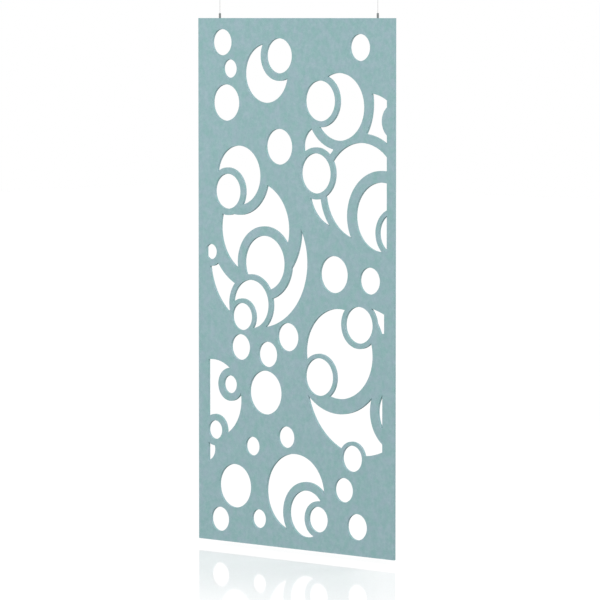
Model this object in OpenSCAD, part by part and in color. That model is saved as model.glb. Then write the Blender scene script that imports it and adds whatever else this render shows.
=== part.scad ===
// Hanging room divider panel: a felt sheet with bubble cut-outs, hung on two steel cables.
// Frame: the origin is on the ceiling plane, midway between the two cables. +X runs along the panel to the
// right as seen from the front, +Y goes away from the viewer, +Z is up. Millimetres.

/* [Felt panel] */
// Width of the felt sheet
panel_w = 1200; // [1100:10:1500]
// Height of the felt sheet
panel_h = 2400; // [2000:10:3000]
// Thickness of the felt sheet
panel_t = 12; // [10:1:25]
// Plain felt kept above the pattern and below it
end_margin = 40; // [20:5:80]

/* [Hanging] */
// From the ceiling down to the panel's top edge
panel_drop = 130; // [110:5:2000]
// From the panel's left edge to the left cable
inset_left = 132; // [110:1:138]
// From the panel's right edge to the right cable
inset_right = 104; // [98:1:110]
// Diameter of the steel cable
cable_d = 1.5; // [1:0.1:1.8]
// Depth of the cable's pocket below the top edge
pocket_depth = 45; // [25:1:48]
// Diameter of the cable's pocket
pocket_d = 3; // [2.5:0.1:4]
// Height above the panel's top edge at which the cable's tail ends
tail_rise = 3; // [1:0.5:6]

/* [Gripper] */
// Outer diameter of the barrel
gripper_d = 10; // [8.5:0.1:12]
// Height of the barrel
gripper_h = 22; // [21:0.5:28]
// Bevel on the barrel's two rims
gripper_bevel = 0.6; // [0.2:0.1:1]
// Diameter of the chamber for spring and balls
chamber_d = 6; // [5.8:0.1:6.4]
// Height at which the chamber begins to narrow
cone_start = 14; // [13:0.5:15]
// Height of the clamping cone
cone_h = 5; // [4.5:0.1:6]
// Diameter at the cone's narrow end
cone_end_d = 3.8; // [3.6:0.1:4]
// Diameter of a clamping ball
clamp_ball_d = 1.9; // [1.7:0.05:2]
// Number of clamping balls in a gripper
clamp_balls = 3; // [3:1:4]
// Outer diameter of the release plunger
plunger_d = 3.2; // [3:0.1:3.4]
// How far the plunger stands out of the barrel
plunger_out = 3; // [2.5:0.1:5]
// Diameter of the hole through plunger and stud
cable_way_d = 2.1; // [2.1:0.1:2.3]
// Width of the plunger's foot
foot_d = 3.7; // [3.5:0.05:3.75]
// Thickness of the plunger's foot
foot_h = 1; // [0.6:0.1:1.2]
// Wire diameter of the spring
spring_wire = 0.4; // [0.3:0.05:0.5]
// Mean diameter of the spring
spring_d = 3.8; // [3.4:0.1:4.4]
// Turns of the spring
spring_turns = 6; // [4:1:8]

/* [Stud and insert] */
// Outer diameter of the stud
stud_d = 5; // [4:0.5:6]
// Length of the stud's thread in the gripper
stud_up = 7; // [5:0.5:9]
// Length of the stud's thread in the insert
stud_down = 13; // [8:0.5:14]
// Outer diameter of the edge insert
insert_d = 8; // [7:0.5:9]
// Length of the edge insert
insert_l = 15; // [14.5:0.5:20]
// Depth of the grooves round the insert
groove_depth = 0.4; // [0.2:0.1:0.5]
// Width of the grooves round the insert
groove_w = 1.2; // [0.8:0.1:1.4]
// Number of grooves round the insert
grooves = 5; // [3:1:5]

/* [Ceiling fitting] */
// Outer diameter of cap and base
cap_d = 16; // [14:0.5:24]
// Height of the cap
cap_h = 21; // [20:0.5:30]
// Bevel on the cap's lower rim
cap_bevel = 0.8; // [0.2:0.1:1.2]
// Thickness of the cap's floor
cap_floor = 3; // [2.8:0.1:4]
// Thickness of the base's flange
flange_h = 3; // [2:0.5:5]
// Diameter of the base's threaded boss
boss_d = 12; // [11:0.5:12.5]
// Length of the base's threaded boss
boss_h = 10; // [8:0.5:12]
// Diameter of the ceiling screw's hole
screw_d = 4.5; // [3.5:0.1:5]
// Diameter of the screw head's countersink
screw_head_d = 8.5; // [7:0.1:9]
// Depth of the screw head's countersink
screw_head_h = 2.4; // [2:0.1:3]
// Diameter of the ball swaged on the cable's end
end_ball_d = 5; // [4.5:0.1:5.5]
// How far the ball's centre sits above the cap's floor
end_ball_rise = 1; // [0.8:0.1:1.2]
// Diameter of the cable's hole in the cap
cap_hole_d = 3.2; // [3:0.1:3.6]

/* [Clearances] */
// Gap on the radius between threads and their holes
thread_gap = 0.05; // [0.02:0.01:0.1]
// Gap on the radius between sliding or rolling pieces
slide_gap = 0.05; // [0.02:0.01:0.1]

/* [Bubble pattern] */
// Round cut-outs from the front of the pattern to the back: from the sheet's left edge, depth below its
// top edge, radius, and the width of the felt ring that is left round it where it lies over another one.
// A radius of 0 is an island of plain felt.
bubbles = [
    // single bubbles
    [150, 110, 60, 0], [995, 130, 60, 0], [200, 230, 42, 0], [175, 385, 83, 0], [505, 580, 81, 0],
    [840, 1145, 83, 0], [1055, 1165, 60, 0], [560, 1440, 64, 0], [265, 1500, 59, 0], [435, 1525, 58, 0],
    [420, 1700, 100, 0], [550, 1895, 49, 0], [340, 1950, 43, 0], [900, 2110, 55, 0], [230, 2140, 100, 0],
    [980, 2270, 59, 0], [380, 2280, 43, 0], [135, 2300, 56, 0],
    // pair at the top left
    [505, 170, 79, 34], [425, 250, 133, 0],
    // cluster at the upper right
    [730, 695, 90, 27], [1200, 950, 90, 22], [1125, 880, 154, 52], [1005, 770, 217, 31],
    [755, 370, 91, 27], [870, 395, 151, 42], [1205, 455, 46, 34], [745, 575, 90, 0], [860, 765, 170, 0],
    [815, 380, 0, 255], [1010, 770, 0, 258], [1045, 545, 213, 0],
    // cluster at the middle left
    [185, 790, 80, 29], [255, 715, 135, 46], [80, 1070, 35, 31], [275, 1360, 62, 21],
    [330, 1300, 110, 26], [415, 1110, 124, 43], [355, 955, 213, 71], [375, 1100, 304, 0],
    // cluster at the lower right
    [750, 1610, 85, 20], [990, 1365, 82, 24], [950, 1965, 59, 18], [1235, 1745, 130, 48],
    [870, 1500, 202, 68], [1145, 1510, 0, 115], [1005, 1615, 333, 0],
    // cluster at the lower left
    [200, 1675, 41, 35], [105, 1890, 43, 30], [50, 1980, 54, 0], [90, 1745, 180, 0],
    // cluster at the bottom
    [745, 2255, 58, 25], [675, 2235, 106, 39], [605, 2145, 177, 0]
];
// Plain felt kept beside the pattern, in steps: down to this depth, left margin, right margin
side_margins = [[1200, 52, 45], [1550, 60, 60], [2400, 62, 70]];

/* [Hidden] */
$fn = 96;
left = -1;
right = 1;
past = 1; // how far a cutting tool runs past a face
cable_x = (panel_w - inset_left - inset_right) / 2;
sheet_x = (inset_right - inset_left) / 2; // middle of the sheet, which hangs a little off the middle
panel_top = -panel_drop;
cap_bottom = -flange_h - cap_h;
end_ball_z = cap_bottom + cap_floor + end_ball_rise;
cable_top = end_ball_z + end_ball_d / 2 - 0.1;
cable_tail = panel_top + tail_rise;
cone_angle = atan((chamber_d - cone_end_d) / 2 / cone_h);
clamp_orbit = cable_d / 2 + slide_gap + clamp_ball_d / 2;
clamp_reach = clamp_orbit + (clamp_ball_d / 2 + slide_gap / 2) / cos(cone_angle);
clamp_z = cone_start + (chamber_d / 2 - clamp_reach) / tan(cone_angle);
foot_z = clamp_z + clamp_ball_d / 2 + slide_gap;
spring_low = stud_up + slide_gap;
spring_high = clamp_z - clamp_ball_d / 2 - slide_gap;
spring_step = 30; // degrees between the rings of the spring's tube
spring_sides = 6;

module at_cable(side, z) {
    translate([side * cable_x, 0, z]) children();
}

// 2D, with the origin in the middle of the sheet's top edge
module bubble(b, grow) {
    translate([b[0] - panel_w / 2, -b[1]]) circle(r = b[2] + grow);
}

function covers(front, back) = front[3] > 0 &&
    norm([front[0] - back[0], front[1] - back[1]]) < front[2] + front[3] + back[2];

module open_bubble(i) {
    difference() {
        bubble(bubbles[i], 0);
        for (j = [0 : 1 : i - 1]) if (covers(bubbles[j], bubbles[i])) bubble(bubbles[j], bubbles[j][3]);
    }
}

// Outline of the field that holds the pattern, stepped at the sides
module pattern_field() {
    last = len(side_margins) - 1;
    function step_low(i) = i == last ? panel_h - end_margin : side_margins[i][0];
    function step_high(i) = i == 0 ? end_margin : side_margins[i - 1][0];
    right_side = [for (i = [0 : last]) for (d = [step_high(i), step_low(i)])
        [panel_w / 2 - side_margins[i][2], -d]];
    left_side = [for (i = [last : -1 : 0]) for (d = [step_low(i), step_high(i)])
        [side_margins[i][1] - panel_w / 2, -d]];
    polygon(concat(right_side, left_side));
}

module felt_panel() {
    color([0.58, 0.71, 0.73])
    difference() {
        translate([sheet_x - panel_w / 2, -panel_t / 2, panel_top - panel_h]) cube([panel_w, panel_t, panel_h]);
        translate([sheet_x, 0, panel_top]) rotate([90, 0, 0])
            linear_extrude(height = panel_t + 2 * past, center = true)
                intersection() {
                    pattern_field();
                    union() {
                        for (i = [0 : len(bubbles) - 1]) if (bubbles[i][2] > 0) open_bubble(i);
                    }
                }
        for (side = [left, right]) {
            at_cable(side, panel_top - insert_l) cylinder(d = insert_d + 2 * thread_gap, h = insert_l + past);
            at_cable(side, panel_top - pocket_depth) cylinder(d = pocket_d, h = pocket_depth + past);
        }
    }
}

module edge_insert(side) {
    pitch = insert_l / (grooves + 1);
    color([0.72, 0.6, 0.35])
    at_cable(side, panel_top - insert_l)
    difference() {
        cylinder(d = insert_d, h = insert_l);
        translate([0, 0, -past]) cylinder(d = stud_d, h = insert_l + 2 * past);
        for (i = [1 : grooves]) translate([0, 0, i * pitch - groove_w / 2]) difference() {
            cylinder(d = insert_d + 2 * past, h = groove_w);
            translate([0, 0, -past]) cylinder(d = insert_d - 2 * groove_depth, h = groove_w + 2 * past);
        }
    }
}

module hollow_stud(side) {
    color([0.75, 0.76, 0.78])
    at_cable(side, panel_top - stud_down)
    difference() {
        cylinder(d = stud_d - 2 * thread_gap, h = stud_down + stud_up);
        translate([0, 0, -past]) cylinder(d = cable_way_d, h = stud_down + stud_up + 2 * past);
    }
}

// Half section of the barrel with its bore, from the thread at the bottom to the plunger's hole
module gripper_section() {
    r = gripper_d / 2;
    difference() {
        polygon([[0, 0], [r - gripper_bevel, 0], [r, gripper_bevel], [r, gripper_h - gripper_bevel],
            [r - gripper_bevel, gripper_h], [0, gripper_h]]);
        polygon([[-past, -past], [stud_d / 2, -past], [stud_d / 2, stud_up], [chamber_d / 2, stud_up],
            [chamber_d / 2, cone_start], [cone_end_d / 2, cone_start + cone_h],
            [plunger_d / 2 + slide_gap, cone_start + cone_h], [plunger_d / 2 + slide_gap, gripper_h + past],
            [-past, gripper_h + past]]);
    }
}

module gripper_body(side) {
    color([0.5, 0.52, 0.53])
    at_cable(side, panel_top) rotate_extrude() gripper_section();
}

module release_plunger(side) {
    color([0.66, 0.68, 0.69])
    at_cable(side, panel_top + foot_z)
    difference() {
        union() {
            cylinder(d = plunger_d, h = gripper_h + plunger_out - foot_z);
            cylinder(d = foot_d, h = foot_h);
        }
        translate([0, 0, -past]) cylinder(d = cable_way_d, h = gripper_h + plunger_out + 2 * past);
    }
}

module clamping_balls(side) {
    color([0.8, 0.81, 0.83])
    at_cable(side, panel_top + clamp_z)
        for (i = [0 : clamp_balls - 1]) rotate([0, 0, i * 360 / clamp_balls])
            translate([clamp_orbit, 0, 0]) sphere(d = clamp_ball_d);
}

// One ring of the spring's wire at the turn angle a, whose rise is z
function spring_ring(a, z) = [for (k = [0 : spring_sides - 1])
    let (t = k * 360 / spring_sides, r = spring_d / 2 + spring_wire / 2 * cos(t))
    [r * cos(a), r * sin(a), z + spring_wire / 2 * sin(t)]];

module plunger_spring(side) {
    rings = spring_turns * 360 / spring_step;
    run = spring_high - spring_low - spring_wire;
    points = [for (i = [0 : rings]) each spring_ring(i * spring_step, run * i / rings)];
    sides = [for (i = [0 : rings - 1]) for (k = [0 : spring_sides - 1])
        let (n = (k + 1) % spring_sides, a = i * spring_sides, b = (i + 1) * spring_sides)
        each [[a + k, b + k, b + n], [a + k, b + n, a + n]]];
    low_end = [for (k = [0 : spring_sides - 1]) k];
    high_end = [for (k = [spring_sides - 1 : -1 : 0]) rings * spring_sides + k];
    color([0.78, 0.79, 0.8])
    at_cable(side, panel_top + spring_low + spring_wire / 2)
        polyhedron(points = points, faces = concat(sides, [low_end, high_end]), convexity = 8);
}

module steel_cable(side) {
    color([0.76, 0.78, 0.8])
    at_cable(side, cable_tail) cylinder(d = cable_d, h = cable_top - cable_tail);
}

module cable_end_ball(side) {
    color([0.7, 0.72, 0.74])
    at_cable(side, end_ball_z) difference() {
        sphere(d = end_ball_d);
        translate([0, 0, -end_ball_d]) cylinder(d = cable_d, h = 2 * end_ball_d);
    }
}

module ceiling_cap(side) {
    color([0.5, 0.52, 0.53])
    at_cable(side, cap_bottom) difference() {
        union() {
            cylinder(d1 = cap_d - 2 * cap_bevel, d2 = cap_d, h = cap_bevel);
            translate([0, 0, cap_bevel]) cylinder(d = cap_d, h = cap_h - cap_bevel);
        }
        translate([0, 0, cap_floor]) cylinder(d = boss_d + 2 * thread_gap, h = cap_h);
        translate([0, 0, end_ball_z - cap_bottom]) sphere(d = end_ball_d + 2 * slide_gap);
        translate([0, 0, -past]) cylinder(d = cap_hole_d, h = cap_floor + 2 * past);
    }
}

module ceiling_base(side) {
    shank = flange_h + boss_h;
    color([0.72, 0.74, 0.76])
    at_cable(side, -shank) difference() {
        union() {
            cylinder(d = boss_d, h = shank);
            translate([0, 0, boss_h]) cylinder(d = cap_d, h = flange_h);
        }
        translate([0, 0, -past]) cylinder(d = screw_d, h = shank + 2 * past);
        cylinder(d1 = screw_head_d, d2 = screw_d, h = screw_head_h);
        translate([0, 0, -past]) cylinder(d = screw_head_d, h = past);
    }
}

felt_panel();
edge_insert(left);  // edge_insert_left
edge_insert(right);  // edge_insert_right
hollow_stud(left);  // hollow_stud_left
hollow_stud(right);  // hollow_stud_right
gripper_body(left);  // gripper_body_left
gripper_body(right);  // gripper_body_right
release_plunger(left);  // release_plunger_left
release_plunger(right);  // release_plunger_right
clamping_balls(left);  // clamping_balls_left
clamping_balls(right);  // clamping_balls_right
plunger_spring(left);  // plunger_spring_left
plunger_spring(right);  // plunger_spring_right
steel_cable(left);  // steel_cable_left
steel_cable(right);  // steel_cable_right
cable_end_ball(left);  // cable_end_ball_left
cable_end_ball(right);  // cable_end_ball_right
ceiling_cap(left);  // ceiling_cap_left
ceiling_cap(right);  // ceiling_cap_right
ceiling_base(left);  // ceiling_base_left
ceiling_base(right);  // ceiling_base_right
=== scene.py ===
# %% [markdown]
# # A hanging room divider panel
# The object is one tall sheet of pressed felt, cut through with a pattern of bubbles, that hangs from the
# ceiling on two thin steel cables. The measured solids are loaded first and stay where they are: everything
# below only gives them their surfaces, or puts a more detailed piece exactly where a plain solid is. All
# sizes are in metres, with the origin on the ceiling between the two cables, +X to the right, +Y away from
# the viewer and +Z up.

# %% Load the measured model
import bpy
import bmesh
import math
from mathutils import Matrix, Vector
from mathutils.kdtree import KDTree


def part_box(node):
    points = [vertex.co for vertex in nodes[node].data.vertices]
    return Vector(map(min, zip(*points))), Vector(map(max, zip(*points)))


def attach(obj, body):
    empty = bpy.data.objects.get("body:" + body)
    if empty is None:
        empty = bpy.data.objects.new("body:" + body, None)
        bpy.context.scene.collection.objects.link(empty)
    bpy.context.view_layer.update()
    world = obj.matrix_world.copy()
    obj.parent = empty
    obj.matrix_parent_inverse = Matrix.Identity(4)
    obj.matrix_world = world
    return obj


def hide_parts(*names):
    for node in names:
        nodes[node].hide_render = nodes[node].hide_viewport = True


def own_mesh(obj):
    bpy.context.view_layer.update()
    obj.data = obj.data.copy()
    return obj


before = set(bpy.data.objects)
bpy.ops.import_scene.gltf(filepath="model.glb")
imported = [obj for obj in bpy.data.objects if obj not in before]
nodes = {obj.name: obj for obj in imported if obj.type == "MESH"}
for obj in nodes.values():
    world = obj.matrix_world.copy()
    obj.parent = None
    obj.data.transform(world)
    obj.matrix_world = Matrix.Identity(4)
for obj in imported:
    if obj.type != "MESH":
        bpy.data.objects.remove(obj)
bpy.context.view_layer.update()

# %% [markdown]
# Most sizes are easier to think of in millimetres, so one constant turns them into metres. Places aren't
# typed in again: they are read from the measured solids, so that every new piece stays on the piece it
# belongs to.

# %% Units and places
MM = 0.001
SIDES = {"left": -1, "right": 1}
sheet_low, sheet_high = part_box("felt_panel")
PANEL_LOW = sheet_low.z
PANEL_THICKNESS = sheet_high.y - sheet_low.y
print("the sheet reaches from", round(sheet_high.z, 4), "down to", round(PANEL_LOW, 4))
print("it is", round(PANEL_THICKNESS / MM, 2), "mm thick")

# %% [markdown]
# ## The camera
# The picture was taken with a very long lens, from far to the right of the panel and level with its top
# edge. A wide lens near the object would show strong perspective, which the picture hasn't. Where such a
# camera stands can be guessed and nudged, but four known corners of a flat sheet are enough to solve for
# it, which is how these values were found. A lens is measured in millimetres, as on a real camera.

# %% Camera
EYE = Vector((12.924, -14.025, -0.121))
TURN = math.radians(42.627)
TILT = math.radians(3.834)
LENS, SENSOR_WIDTH = 254.2, 36
FARTHEST_SEEN = 200
gaze = Vector((-math.sin(TURN) * math.cos(TILT), math.cos(TURN) * math.cos(TILT), -math.sin(TILT)))
camera_data = bpy.data.cameras.new("camera")
camera_data.lens = LENS
camera_data.sensor_width = SENSOR_WIDTH
camera_data.clip_end = FARTHEST_SEEN
camera = bpy.data.objects.new("camera", camera_data)
camera.location = EYE
camera.rotation_euler = gaze.to_track_quat("-Z", "Y").to_euler()
bpy.context.scene.collection.objects.link(camera)
bpy.context.scene.camera = camera
panel_middle = (sheet_low + sheet_high) / 2
print("the camera stands", round((EYE - panel_middle).length, 2), "m from the panel's middle")

# %% [markdown]
# ## Making a material
# Every finish here is built from nodes. Writing each node by hand gets long, so a few small helpers do the
# repeated work. The first starts a material and sets its shader's plain values. The second adds a node with
# its settings.

# %% Material helpers
def new_finish(name, **plain):
    finish = bpy.data.materials.new(name)
    finish.use_nodes = True
    shader = finish.node_tree.nodes["Principled BSDF"]
    for socket, value in plain.items():
        shader.inputs[socket.replace("_", " ")].default_value = value
    return finish, finish.node_tree, shader


def add(tree, kind, values=None, **settings):
    node = tree.nodes.new("ShaderNode" + kind)
    for key, value in settings.items():
        setattr(node, key, value)
    for key, value in (values or {}).items():
        node.inputs[key].default_value = value
    return node


# %% [markdown]
# Most real surfaces have a grain that runs one way: the lay of fibres, or the rings that a lathe leaves.
# Noise becomes such a grain when its details get a different size along each axis. The sizes are real ones,
# because the noise reads the object's own coordinates in metres. The mapping is of the texture kind, which
# takes the size of a detail instead of a scale, and turns first and stretches afterwards, so that a turned
# pattern has its streaks turned too.

# %% Grain
def grain(tree, size, turn=0, detail=2, roughness=0.5, distortion=0):
    place = add(tree, "TexCoord")
    mapping = add(tree, "Mapping", {"Rotation": (0, turn, 0), "Scale": size}, vector_type="TEXTURE")
    settings = {"Scale": 1, "Detail": detail, "Roughness": roughness, "Distortion": distortion}
    noise = add(tree, "TexNoise", settings)
    tree.links.new(place.outputs["Object"], mapping.inputs["Vector"])
    tree.links.new(mapping.outputs["Vector"], noise.inputs["Vector"])
    return noise.outputs["Fac"]


def even_noise(tree, size, detail=2, roughness=0.5):
    return grain(tree, (size, size, size), detail=detail, roughness=roughness)


# %% [markdown]
# Four more helpers join patterns. One maps a range of grey values onto another: noise crowds round a middle
# grey, so a narrow range is spread out where clear contrast is wanted. One does arithmetic on two patterns,
# such as taking the larger of the two so that threads lie over each other. One blends two colours, with a
# node that has sockets for plain numbers too, so its colour sockets are picked by number. The last turns a
# pattern into fine relief.

# %% Pattern helpers
COLOUR_A, COLOUR_B, MIXED_COLOUR = 6, 7, 2


def spread(tree, fac, low, high, to_low=0.0, to_high=1.0):
    node = add(tree, "MapRange", {"From Min": low, "From Max": high, "To Min": to_low, "To Max": to_high})
    tree.links.new(fac, node.inputs["Value"])
    return node.outputs["Result"]


def combine(tree, operation, a, b):
    node = add(tree, "Math", operation=operation)
    for socket, value in zip(node.inputs, (a, b)):
        if isinstance(value, (int, float)):
            socket.default_value = value
        else:
            tree.links.new(value, socket)
    return node.outputs["Value"]


def two_colours(tree, fac, first, second):
    node = add(tree, "Mix", data_type="RGBA")
    tree.links.new(fac, node.inputs[0])
    for socket, value in ((node.inputs[COLOUR_A], first), (node.inputs[COLOUR_B], second)):
        if isinstance(value, tuple):
            socket.default_value = (*value, 1)
        else:
            tree.links.new(value, socket)
    return node.outputs[MIXED_COLOUR]


def add_bump(tree, shader, height, distance, strength=1.0):
    bump = add(tree, "Bump", {"Distance": distance, "Strength": strength})
    tree.links.new(height, bump.inputs["Height"])
    tree.links.new(bump.outputs["Normal"], shader.inputs["Normal"])


# %% [markdown]
# ## The steel cables
# Each cable is a wire rope 1.5 mm thick: six strands laid round a seventh. A round tube with a stripe
# painted on it would do from far away, but close to, the rope is known by its lobes, so the tube gets a
# lobed section that turns as it climbs. One turn of the lay takes about six times the rope's thickness. The
# strands' own fine wires are too small to model and go into the finish.

# %% Cable sizes
CABLE_D = 1.5 * MM
STRANDS = 6
POINTS_ON_STRAND = 8
LAY_LENGTH = 9 * MM
RING_STEP = 0.4 * MM
GROOVE_FLOOR = 0.8
cable_low, cable_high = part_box("steel_cable_right")
CABLE_X = (cable_low.x + cable_high.x) / 2
CABLE_TAIL, CABLE_END = cable_low.z, cable_high.z
CABLE_LENGTH = CABLE_END - CABLE_TAIL
print("cables at", round(CABLE_X, 4), "m from the middle, length", round(CABLE_LENGTH / MM, 1), "mm")

# %% [markdown]
# The lobes come from geometry: a strand is a small circle whose centre sits on a ring, so the rope's radius
# at an angle is how far out that circle reaches in that direction. The grooves between real strands are
# deep and black, and the floor here keeps them from cutting to the core.

# %% Cable section
def rope_radius(angle):
    strand_radius = CABLE_D / 6
    orbit = CABLE_D / 2 - strand_radius
    between = 2 * math.pi / STRANDS
    off_strand = (angle + between / 2) % between - between / 2
    inside = max(strand_radius ** 2 - (orbit * math.sin(off_strand)) ** 2, 0)
    return max(orbit * math.cos(off_strand) + math.sqrt(inside), GROOVE_FLOOR * CABLE_D / 2)


print("radius on a strand", round(rope_radius(0) / MM, 2), "mm, in a groove",
      round(rope_radius(math.pi / STRANDS) / MM, 2), "mm")

# %% [markdown]
# The rope's mesh is this section repeated up the cable, each ring turned a little further than the one
# below it. Neighbouring rings are joined with four-sided faces, and a flat cap closes each end.

# %% Wire rope
def wire_rope(name, x):
    around = STRANDS * POINTS_ON_STRAND
    rings = round(CABLE_LENGTH / RING_STEP)
    points = []
    for ring in range(rings + 1):
        climb = CABLE_LENGTH * ring / rings
        lay = 2 * math.pi * climb / LAY_LENGTH
        for step in range(around):
            angle = 2 * math.pi * step / around
            radius = rope_radius(angle)
            sideways, inwards = radius * math.cos(angle + lay), radius * math.sin(angle + lay)
            points.append((x + sideways, inwards, CABLE_TAIL + climb))
    faces = []
    for low in range(0, rings * around, around):
        high = low + around
        for step in range(around):
            onward = (step + 1) % around
            faces.append((low + step, low + onward, high + onward, high + step))
    faces.append(tuple(range(around))[::-1])
    faces.append(tuple(range(rings * around, (rings + 1) * around)))
    mesh = bpy.data.meshes.new(name)
    mesh.from_pydata(points, [], faces)
    mesh.polygons.foreach_set("use_smooth", [len(face.vertices) == 4 for face in mesh.polygons])
    rope = bpy.data.objects.new(name, mesh)
    bpy.context.scene.collection.objects.link(rope)
    return rope


# %% [markdown]
# Bright drawn steel wire mirrors whatever is round it, so from a distance a cable in a white room almost
# disappears, as it does in the picture. Faint streaks along the wires break up the mirror.

# %% Cable finish
cable_steel, tree, shader = new_finish("drawn steel wire", Metallic=1.0, Roughness=0.3)
streaks = grain(tree, (0.11 * MM, 0.11 * MM, 2 * MM), detail=1)
tone = two_colours(tree, spread(tree, streaks, 0.3, 0.7), (0.31, 0.31, 0.31), (0.43, 0.43, 0.43))
tree.links.new(tone, shader.inputs["Base Color"])
add_bump(tree, shader, streaks, 0.02 * MM, 0.6)
print("made", cable_steel.name)

# %% [markdown]
# Each rope starts in its gripper, a little below the point where it shows, and ends in a ball inside the
# ceiling cap. It hangs straight, because the panel's weight pulls it tight.

# %% Make both cables
for side, sign in SIDES.items():
    x = sign * CABLE_X
    rope = wire_rope("wire_rope_" + side, x)
    rope.data.materials.append(cable_steel)
    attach(rope, "cables")
    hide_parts("steel_cable_" + side)
    print(rope.name, "has", len(rope.data.vertices), "points")

# %% [markdown]
# ## The felt sheet
# The sheet is the object, so it gets the most care. It could be modelled afresh from circles, but the
# measured solid already has every cut-out in its place. Its mesh is copied, and the copy is refined. The
# two triangles of each piece of cut wall are joined first, so that a wall is a strip of four-sided faces.
# Stored numbers are rounded, so comparing places leaves a hair's breadth of room.

# %% Copy the sheet and join its wall faces
HAIR = 0.01 * MM
SAME_POINT = 0.001 * MM
FACE_Y = PANEL_THICKNESS / 2 - HAIR
sheet_mesh = nodes["felt_panel"].data.copy()
sheet_mesh.name = "felt_sheet"
work = bmesh.new()
work.from_mesh(sheet_mesh)
bmesh.ops.remove_doubles(work, verts=work.verts, dist=SAME_POINT)


def is_slanted(edge):
    front, back = sorted(edge.verts, key=lambda v: v.co.y)
    crosses_wall = front.co.y < -FACE_Y and back.co.y > FACE_Y
    return crosses_wall and edge.calc_length() > PANEL_THICKNESS + HAIR


slants = [e for e in work.edges if is_slanted(e)]
bmesh.ops.dissolve_edges(work, edges=slants, use_verts=False)
print("joined wall faces:", len(slants))

# %% [markdown]
# A rim is an edge where a flat side meets a cut wall. The small holes for the fittings lie between the flat
# sides, so their edges aren't rims.

# %% Find the rims
def is_flat_side(face):
    return abs(face.calc_center_median().y) > FACE_Y


def rim_edges():
    return [e for e in work.edges if len(e.link_faces) == 2
            and is_flat_side(e.link_faces[0]) != is_flat_side(e.link_faces[1])]


rims = rim_edges()
print("rim edges:", len(rims), "rim length:", round(sum(e.calc_length() for e in rims), 1), "m")

# %% [markdown]
# A measured mesh draws an arc as a chain of straight chords, which show from close by. The true arcs can be
# found again. On one arc all chords are equally long and each turns by the same angle, and from these two
# numbers comes the radius. Hardly any turn means a straight line and a large one a corner, so both stay as
# they are. Each chord of an arc is to be cut in three, and this function says where the two new points are
# on the straight chord and where they belong on the arc.

# %% Points on an arc
RIM_CUTS = 2
LEAST_TURN, LARGEST_TURN = math.radians(0.6), math.radians(12)
SAME_LENGTH = 0.005
on_rim = set(rims)


def arc_points(chord):
    for corner in chord.verts:
        start, end = chord.other_vert(corner).co, corner.co
        onward = next(e for e in corner.link_edges if e != chord and e in on_rim)
        here, there = end - start, onward.other_vert(corner).co - end
        turn = here.angle(there)
        same_length = abs(here.length - there.length) < SAME_LENGTH * here.length
        if same_length and LEAST_TURN < turn < LARGEST_TURN:
            radius = here.length / 2 / math.sin(turn / 2)
            outward = (there.project(here) - there).normalized()
            middle = (start + end) / 2
            offsets = [here.length * ((i + 1) / (RIM_CUTS + 1) - 0.5) for i in range(RIM_CUTS)]
            straight = [middle + here.normalized() * x for x in offsets]
            rises = [math.sqrt(radius ** 2 - x ** 2) - radius * math.cos(turn / 2) for x in offsets]
            return [(point, point + outward * rise) for point, rise in zip(straight, rises)]
    return []


chord_points = {chord: arc_points(chord) for chord in rims}
arcs = [chord for chord, points in chord_points.items() if points]
print("chords on arcs:", len(arcs), "of", len(rims))

# %% [markdown]
# Cutting the edges makes the new points, but doesn't say which is which. A search tree finds for each new
# point the planned one that lies nearest, and the point moves out to its place on the arc.

# %% Round the arcs
moves = [pair for points in chord_points.values() for pair in points]
finder = KDTree(len(moves))
for i, pair in enumerate(moves):
    finder.insert(pair[0], i)
finder.balance()
made = bmesh.ops.subdivide_edges(work, edges=arcs, cuts=RIM_CUTS)
largest = 0
for point in made["geom_inner"]:
    if isinstance(point, bmesh.types.BMVert):
        nearest = finder.find(point.co)[1]
        place_on_arc = moves[nearest][1]
        largest = max(largest, (place_on_arc - point.co).length)
        point.co = place_on_arc
print("the largest move is", round(largest / MM, 3), "mm")

# %% [markdown]
# Cut felt never has a knife-sharp rim: the fibres let go over about half a millimetre. A bevel modifier
# could round every edge, but it would also round the small holes in the top edge, so only the rims are
# rounded.

# %% Soften the cut rims
RIM = 0.7 * MM
bmesh.ops.bevel(work, geom=rim_edges(), offset=RIM, offset_type="OFFSET", segments=2, profile=0.5,
                affect="EDGES", clamp_overlap=False)
print("faces with rounded rims:", len(work.faces))

# %% [markdown]
# The two flat faces and the cut walls have different surfaces: the faces are pressed and brushed, and the
# walls show the layers of fibre end on. So the walls get a second material slot, picked by the way each
# face points.

# %% Sort faces from walls
work.normal_update()
for face in work.faces:
    face.smooth = True
    face.material_index = 0 if abs(face.normal.y) > 0.5 else 1
print("faces on the walls:", sum(f.material_index for f in work.faces))
work.to_mesh(sheet_mesh)
work.free()

# %% [markdown]
# The mesh is shaded smooth, with two limits. An edge sharper than 50 degrees stays sharp, and the large
# faces decide the shading of the small ones beside them, so that a flat side still looks flat up to its
# rim.

# %% Shade the sheet
sheet = bpy.data.objects.new("felt_sheet", sheet_mesh)
bpy.context.scene.collection.objects.link(sheet)
sheet_mesh.set_sharp_from_angle(angle=math.radians(50))
weighted = sheet.modifiers.new("flat faces stay flat", "WEIGHTED_NORMAL")
weighted.keep_sharp = True
print(sheet.name, "has", len(sheet_mesh.vertices), "points")

# %% [markdown]
# The felt's face is built up from threads. A grain of long, thin details is turned to three directions and
# bent a little, and the strongest of the three wins at each point, as one fibre lies over another. Hair
# particles would give real fibres, but millions of them, and at arm's length felt shows only their crossing
# streaks.

# %% Fibres
def fibres(tree, turns, length, width):
    together = None
    for turn in turns:
        one = grain(tree, (length, length / 3, width), math.radians(turn), detail=1, distortion=0.8)
        together = one if together is None else combine(tree, "MAXIMUM", together, one)
    return together


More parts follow.
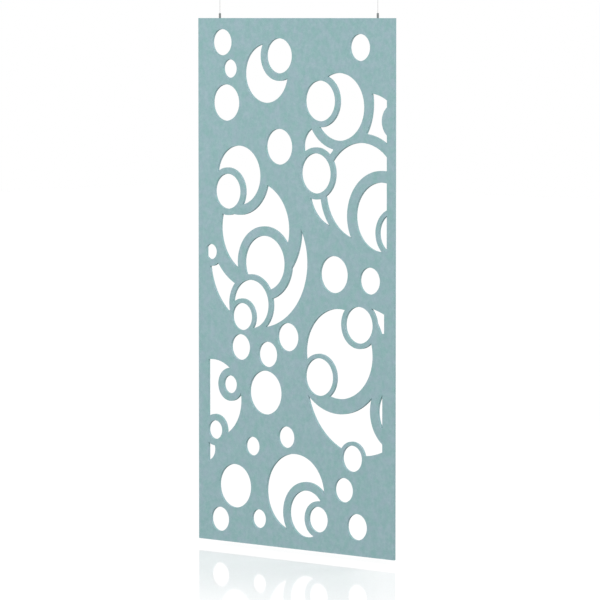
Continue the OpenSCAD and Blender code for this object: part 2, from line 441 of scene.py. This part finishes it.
# %% [markdown]
# The felt is pressed from polyester fibres of a few tones, so it reads as one soft teal grey. A single
# colour would look like plastic. Slow noises make the faint clouds that a mixed felt has, a few centimetres
# wide, and smaller flecks show where the fibres clump. A trace of sheen stands for the loose fibre ends,
# which catch light that comes in low.

# %% Felt tones
FELT_MID = (0.300, 0.467, 0.488)
FELT_DARK = (0.225, 0.376, 0.398)
FELT_PALE = (0.430, 0.590, 0.608)
FELT_GREEN = (0.250, 0.457, 0.440)
FELT_GREY = (0.350, 0.470, 0.532)
felt_face, tree, shader = new_finish("pressed felt", Roughness=0.95, Sheen_Weight=0.12, Sheen_Roughness=0.5,
                                     Specular_IOR_Level=0.2)
clouds = even_noise(tree, 45 * MM, detail=3, roughness=0.6)
tint = two_colours(tree, spread(tree, clouds, 0.36, 0.64), FELT_GREEN, FELT_GREY)
patches = even_noise(tree, 14 * MM)
tint = two_colours(tree, spread(tree, patches, 0.35, 0.65, 0.15, 0.55), tint, FELT_MID)
flecks = even_noise(tree, 17 * MM, detail=4, roughness=0.65)
tint = two_colours(tree, spread(tree, flecks, 0.5, 0.7, 0, 0.3), tint, FELT_PALE)
tint = two_colours(tree, spread(tree, flecks, 0.5, 0.3, 0, 0.3), tint, FELT_DARK)
print("mixed the tones of", felt_face.name)

# %% [markdown]
# Single pale and dark fibres lie on top of the tones. Where a fibre is strong its own colour shows, and
# elsewhere the clouds show through. The same fibres give the relief, so light and colour agree.

# %% Felt fibres
dark_fibres = fibres(tree, (10, 75, 130), length=3.8 * MM, width=0.42 * MM)
pale_fibres = fibres(tree, (35, 100, 165), length=3.3 * MM, width=0.36 * MM)
tint = two_colours(tree, spread(tree, dark_fibres, 0.58, 0.74, 0, 0.55), tint, FELT_DARK)
tint = two_colours(tree, spread(tree, pale_fibres, 0.62, 0.78, 0, 0.6), tint, FELT_PALE)
tree.links.new(tint, shader.inputs["Base Color"])
fleece = combine(tree, "ADD", dark_fibres, pale_fibres)
add_bump(tree, shader, fleece, 0.25 * MM, 0.7)
print("made", felt_face.name, "from", len(tree.nodes), "nodes")

# %% [markdown]
# A cut wall shows the felt's layers as fine lines that run round the cut, parallel to the faces. The noise
# is squeezed hard along the sheet's thickness and left long in the other two directions. The walls are
# mixed a little paler than the faces, and they are a little rougher.

# %% Felt cut walls
CUT_MID = (0.320, 0.480, 0.500)
CUT_PALE = (0.410, 0.560, 0.575)
felt_cut, tree, shader = new_finish("cut felt wall", Roughness=0.97, Sheen_Weight=0.12, Sheen_Roughness=0.5,
                                    Specular_IOR_Level=0.2)
layers = grain(tree, (8.3 * MM, 0.45 * MM, 8.3 * MM), roughness=0.6)
specks = even_noise(tree, 0.38 * MM, detail=1)
tint = two_colours(tree, spread(tree, layers, 0.35, 0.7), FELT_MID, CUT_PALE)
tint = two_colours(tree, spread(tree, specks, 0.5, 0.75, 0, 0.6), tint, CUT_MID)
tree.links.new(tint, shader.inputs["Base Color"])
add_bump(tree, shader, combine(tree, "ADD", layers, specks), 0.3 * MM, 0.7)
print("made", felt_cut.name, "from", len(tree.nodes), "nodes")

# %% [markdown]
# The finished sheet takes the plain solid's place and hangs from the same body, so it swings and climbs
# with it. The order of the two finishes is the order of the slots that the faces were sorted into.

# %% Put the sheet in place
sheet_mesh.materials.clear()
sheet_mesh.materials.append(felt_face)
sheet_mesh.materials.append(felt_cut)
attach(sheet, "panel")
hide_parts("felt_panel")
print(sheet.name, "has", len(sheet_mesh.materials), "finishes")

# %% [markdown]
# ## The metal fittings
# The grippers and the ceiling caps are turned on a lathe from brass and plated in satin nickel, and the
# lathe's very fine rings still show. They are too fine to model, so all the turned parts share one recipe
# for a finish. Noise that is squeezed along the axis, so that it becomes rings, drives the tone, a little
# of the roughness and a very shallow bump. A trace of smudges from handling is mixed in. Only the tones,
# the gloss and the ring size change from part to part.

# %% Turned metal
RING_SHARE = 0.75


def turned_metal(name, dark, pale, roughness, ring, depth):
    finish, tree, shader = new_finish(name, Metallic=1.0)
    rings = grain(tree, (33 * MM, 33 * MM, ring), detail=3, roughness=0.7)
    smudges = even_noise(tree, 4.2 * MM, detail=3)
    ring_part = combine(tree, "MULTIPLY", rings, RING_SHARE)
    smudge_part = combine(tree, "MULTIPLY", smudges, 1 - RING_SHARE)
    worn = combine(tree, "ADD", ring_part, smudge_part)
    tone = two_colours(tree, spread(tree, worn, 0.38, 0.62), dark, pale)
    gloss = spread(tree, rings, 0.3, 0.7, roughness - 0.06, roughness + 0.08)
    tree.links.new(tone, shader.inputs["Base Color"])
    tree.links.new(gloss, shader.inputs["Roughness"])
    add_bump(tree, shader, rings, depth)
    print("made", name, "with rings", round(ring / MM, 1), "mm wide")
    return finish


# %% [markdown]
# Satin nickel in a white room shows as a middle grey, with a faint green in the picture. The plungers are
# polished brighter, the inserts are bare brass, and the studs and ceiling bases are plain zinc plated
# steel.

# %% Four turned finishes
satin_nickel = turned_metal("satin nickel", dark=(0.18, 0.2, 0.2), pale=(0.28, 0.305, 0.305),
                            roughness=0.3, ring=0.5 * MM, depth=0.01 * MM)
bright_nickel = turned_metal("bright nickel", dark=(0.44, 0.45, 0.455), pale=(0.56, 0.57, 0.575),
                             roughness=0.2, ring=0.4 * MM, depth=0.008 * MM)
plain_brass = turned_metal("plain brass", dark=(0.56, 0.41, 0.17), pale=(0.66, 0.5, 0.23),
                           roughness=0.32, ring=0.5 * MM, depth=0.01 * MM)
zinc_steel = turned_metal("zinc plated steel", dark=(0.5, 0.52, 0.54), pale=(0.6, 0.61, 0.63),
                          roughness=0.36, ring=0.6 * MM, depth=0.01 * MM)

# %% [markdown]
# The balls and the spring aren't turned. Bearing balls are ground to a mirror, so where a turned part gets
# rings they get only a faint haze, in their tone and their gloss.

# %% Ground balls
ground_steel, tree, shader = new_finish("ground steel ball", Metallic=1.0)
haze = even_noise(tree, 1.4 * MM, detail=3)
tone = two_colours(tree, haze, (0.62, 0.63, 0.64), (0.72, 0.73, 0.74))
tree.links.new(tone, shader.inputs["Base Color"])
tree.links.new(spread(tree, haze, 0.3, 0.7, 0.05, 0.14), shader.inputs["Roughness"])
print("made", ground_steel.name)

# %% [markdown]
# A spring is wound from drawn wire, which has faint lengthwise streaks and keeps a trace of oil. The wire
# runs round the spring almost level, so details that are wide and low lie along it. The oil is a thin coat
# of gloss over the steel.

# %% Spring wire
spring_wire, tree, shader = new_finish("spring wire", Metallic=1.0, Roughness=0.3, Coat_Weight=0.3)
drawn = grain(tree, (1.1 * MM, 1.1 * MM, 0.2 * MM))
tone = two_colours(tree, drawn, (0.42, 0.43, 0.45), (0.6, 0.61, 0.63))
tree.links.new(tone, shader.inputs["Base Color"])
add_bump(tree, shader, drawn, 0.01 * MM)
print("made", spring_wire.name)

# %% [markdown]
# The ball on the cable's end was squeezed onto it in a die, which leaves it slightly dimpled. The dimples
# are far deeper than turning rings, though still too shallow to need geometry.

# %% Swaged ball
swaged_steel, tree, shader = new_finish("swaged steel", Metallic=1.0, Roughness=0.35)
dimples = even_noise(tree, 1.1 * MM)
tone = two_colours(tree, dimples, (0.48, 0.49, 0.5), (0.58, 0.59, 0.6))
tree.links.new(tone, shader.inputs["Base Color"])
add_bump(tree, shader, dimples, 0.06 * MM, 0.5)
print("made", swaged_steel.name)

# %% [markdown]
# The fittings keep their measured meshes, which are exact at this size. Each only gets its finish, the same
# on the left as on the right.

# %% Give each fitting its finish
finishes = {
    "gripper_body": satin_nickel, "ceiling_cap": satin_nickel, "release_plunger": bright_nickel,
    "edge_insert": plain_brass, "hollow_stud": zinc_steel, "ceiling_base": zinc_steel,
    "clamping_balls": ground_steel, "plunger_spring": spring_wire, "cable_end_ball": swaged_steel,
}
for part, finish in finishes.items():
    for side in SIDES:
        mesh = nodes[part + "_" + side].data
        mesh.materials.clear()
        mesh.materials.append(finish)
print("finished fittings:", len(SIDES) * len(finishes))

# %% [markdown]
# Each spring gets shorter as its plunger is pressed. A spring could be built anew for every pose, but its
# wire is so thin that flattening the whole piece towards its fixed end would look the same. Here each
# spring only gets a mesh of its own, which no other part shares.

# %% Give each spring a mesh of its own
for side in SIDES:
    spring, press = "plunger_spring_" + side, "press_" + side
    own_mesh(nodes[spring])

# %% [markdown]
# ## The room
# The picture's room is plain white, with a floor just below the panel that mirrors it faintly. A big plane
# stands for the floor. Dull paint on it catches the light and the panel's shadow.

# %% Floor
FLOOR_GAP = 29 * MM
FLOOR_SIZE = 60
bpy.ops.mesh.primitive_plane_add(size=FLOOR_SIZE, location=(0, 0, PANEL_LOW - FLOOR_GAP))
floor = bpy.context.object
floor.name = "floor"
floor_finish = bpy.data.materials.new("pale floor")
floor_finish.use_nodes = True
floor.data.materials.append(floor_finish)
tree = floor_finish.node_tree
tree.nodes.clear()
paint = add(tree, "BsdfDiffuse", {"Color": (0.25, 0.25, 0.25, 1)})
place = add(tree, "TexCoord")
print("the floor is", round(FLOOR_GAP / MM), "mm below the sheet")

# %% [markdown]
# In the picture the floor is as white as the background. More light could make it so, but it would bleach
# the felt as well. A glow that only the camera's rays find, straight or by way of a mirror or glass,
# whitens the floor and leaves the panel alone. The same choice of rays serves for the world further down.

# %% Rays that reach the camera
def seen_by_camera(tree):
    ray = add(tree, "LightPath")
    mirrored = combine(tree, "MAXIMUM", ray.outputs["Is Glossy Ray"], ray.outputs["Is Transmission Ray"])
    return combine(tree, "MAXIMUM", ray.outputs["Is Camera Ray"], mirrored)


def blend_shaders(tree, fac, first, second):
    node = add(tree, "MixShader")
    tree.links.new(fac, node.inputs[0])
    tree.links.new(first.outputs[0], node.inputs[1])
    tree.links.new(second.outputs[0], node.inputs[2])
    return node


# %% [markdown]
# The glow is added to the paint, so the panel's shadow stays. It is a little weaker round the panel, where
# the lamps add more light of their own.

# %% Glow of the floor
NEAR, FAR = 1.5, 9
GLOW_NEAR, GLOW_FAR = 0.82, 0.9
glow = add(tree, "Emission", {"Color": (1, 1, 1, 1)})
distance = add(tree, "VectorMath", operation="LENGTH")
tree.links.new(place.outputs["Object"], distance.inputs[0])
strength = spread(tree, distance.outputs["Value"], NEAR, FAR, GLOW_NEAR, GLOW_FAR)
tree.links.new(strength, glow.inputs["Strength"])
no_glow = add(tree, "Emission", {"Color": (0, 0, 0, 1), "Strength": 0.0})
glow_shown = blend_shaders(tree, seen_by_camera(tree), no_glow, glow)
lit = add(tree, "AddShader")
tree.links.new(paint.outputs[0], lit.inputs[0])
tree.links.new(glow_shown.outputs[0], lit.inputs[1])
print("for the camera the floor glows with", GLOW_NEAR, "near the panel and", GLOW_FAR, "far off")

# %% [markdown]
# A thin polished layer shows the panel upside down. In the picture this mirror image fades out towards the
# viewer. It is weaker under the panel's right end too. Two patterns that run across the floor, one for
# each, are multiplied into the strength of the polish.

# %% Strength of the mirror
MIRROR, RIGHT_END_SHARE = 0.31, 0.65
FADED_OUT, FULL = -2.5, -0.3
TO_RIGHT_END = (0.74, 0.67, 0)
WEAKER_FROM, WEAKER_TO = 0.2, 0.38
split = add(tree, "SeparateXYZ")
tree.links.new(place.outputs["Object"], split.inputs[0])
fade = {"From Min": FADED_OUT, "From Max": FULL, "To Max": MIRROR}
near_panel = add(tree, "MapRange", fade, interpolation_type="SMOOTHSTEP")
tree.links.new(split.outputs["Y"], near_panel.inputs["Value"])
sideways = add(tree, "VectorMath", {1: TO_RIGHT_END}, operation="DOT_PRODUCT")
tree.links.new(place.outputs["Object"], sideways.inputs[0])
weaker = spread(tree, sideways.outputs["Value"], WEAKER_FROM, WEAKER_TO, 1, RIGHT_END_SHARE)
shine = combine(tree, "MULTIPLY", near_panel.outputs["Result"], weaker)
print("the mirror is full up to", -FULL, "m before the panel and gone at", -FADED_OUT, "m")

# %% [markdown]
# The polish is a little rough, so that the mirror image is soft. It lies over the lit paint by the strength
# just made.

# %% Mirror of the floor
polish = add(tree, "BsdfGlossy", {"Color": (1, 1, 1, 1), "Roughness": 0.05})
polished = blend_shaders(tree, shine, lit, polish)
surface = add(tree, "OutputMaterial")
tree.links.new(polished.outputs[0], surface.inputs["Surface"])
print("made", floor_finish.name, "from", len(tree.nodes), "nodes")

# %% [markdown]
# ## Light
# A white room lights the panel from all round, so most of the light comes from the world. Seen directly or
# in a mirror the world is pure white, and as a light it is a dimmer grey.

# %% World
ROOM_LIGHT = 0.49
world = bpy.data.worlds.new("white room")
bpy.context.scene.world = world
world.use_nodes = True
tree = world.node_tree
tree.nodes.clear()
backdrop = add(tree, "Background", {"Color": (1, 1, 1, 1), "Strength": 1.0})
ambient = add(tree, "Background", {"Color": (1, 1, 1, 1), "Strength": ROOM_LIGHT})
chosen = blend_shaders(tree, seen_by_camera(tree), ambient, backdrop)
sky = add(tree, "OutputWorld")
tree.links.new(chosen.outputs[0], sky.inputs["Surface"])
print("the room lights the panel with a strength of", ROOM_LIGHT)

# %% [markdown]
# Three large soft lamps add the shape. The strongest stands far out to the right and high up, so it also
# reaches the sheet's right edge and the cut walls that face it, and it makes the top of the sheet a little
# brighter than the foot. A weak one stands to the left, and one behind the panel lights its back. They are
# hidden from mirrors, where a lamp would show as a bright square on the barrels.

# %% Lamps
def soft_lamp(name, place, aim, size, watts):
    data = bpy.data.lights.new(name, "AREA")
    data.shape = "SQUARE"
    data.size = size
    data.energy = watts
    lamp = bpy.data.objects.new(name, data)
    lamp.location = place
    lamp.rotation_euler = (Vector(aim) - Vector(place)).to_track_quat("-Z", "Y").to_euler()
    bpy.context.scene.collection.objects.link(lamp)
    lamp.visible_glossy = False
    print(name, "at", place, "with", watts, "W")


soft_lamp("key lamp", place=(8.5, -6.5, 3.6), aim=(0, 0, -1.0), size=4.0, watts=820)
soft_lamp("left lamp", place=(-3.4, -4.2, 0.2), aim=(-0.4, 0, -1.4), size=2.4, watts=108)
soft_lamp("back lamp", place=(1.4, 4.6, 0.6), aim=(0, 0, -1.2), size=2.4, watts=132)

# %% [markdown]
# ## Finish
# Colours are shown with the plain display transform, so that a tone comes out as it was mixed. The default
# one would lower the contrast and mute the colours.

# %% Display
bpy.context.scene.view_settings.view_transform = "Standard"
print("colours are shown by", bpy.context.scene.view_settings.view_transform)
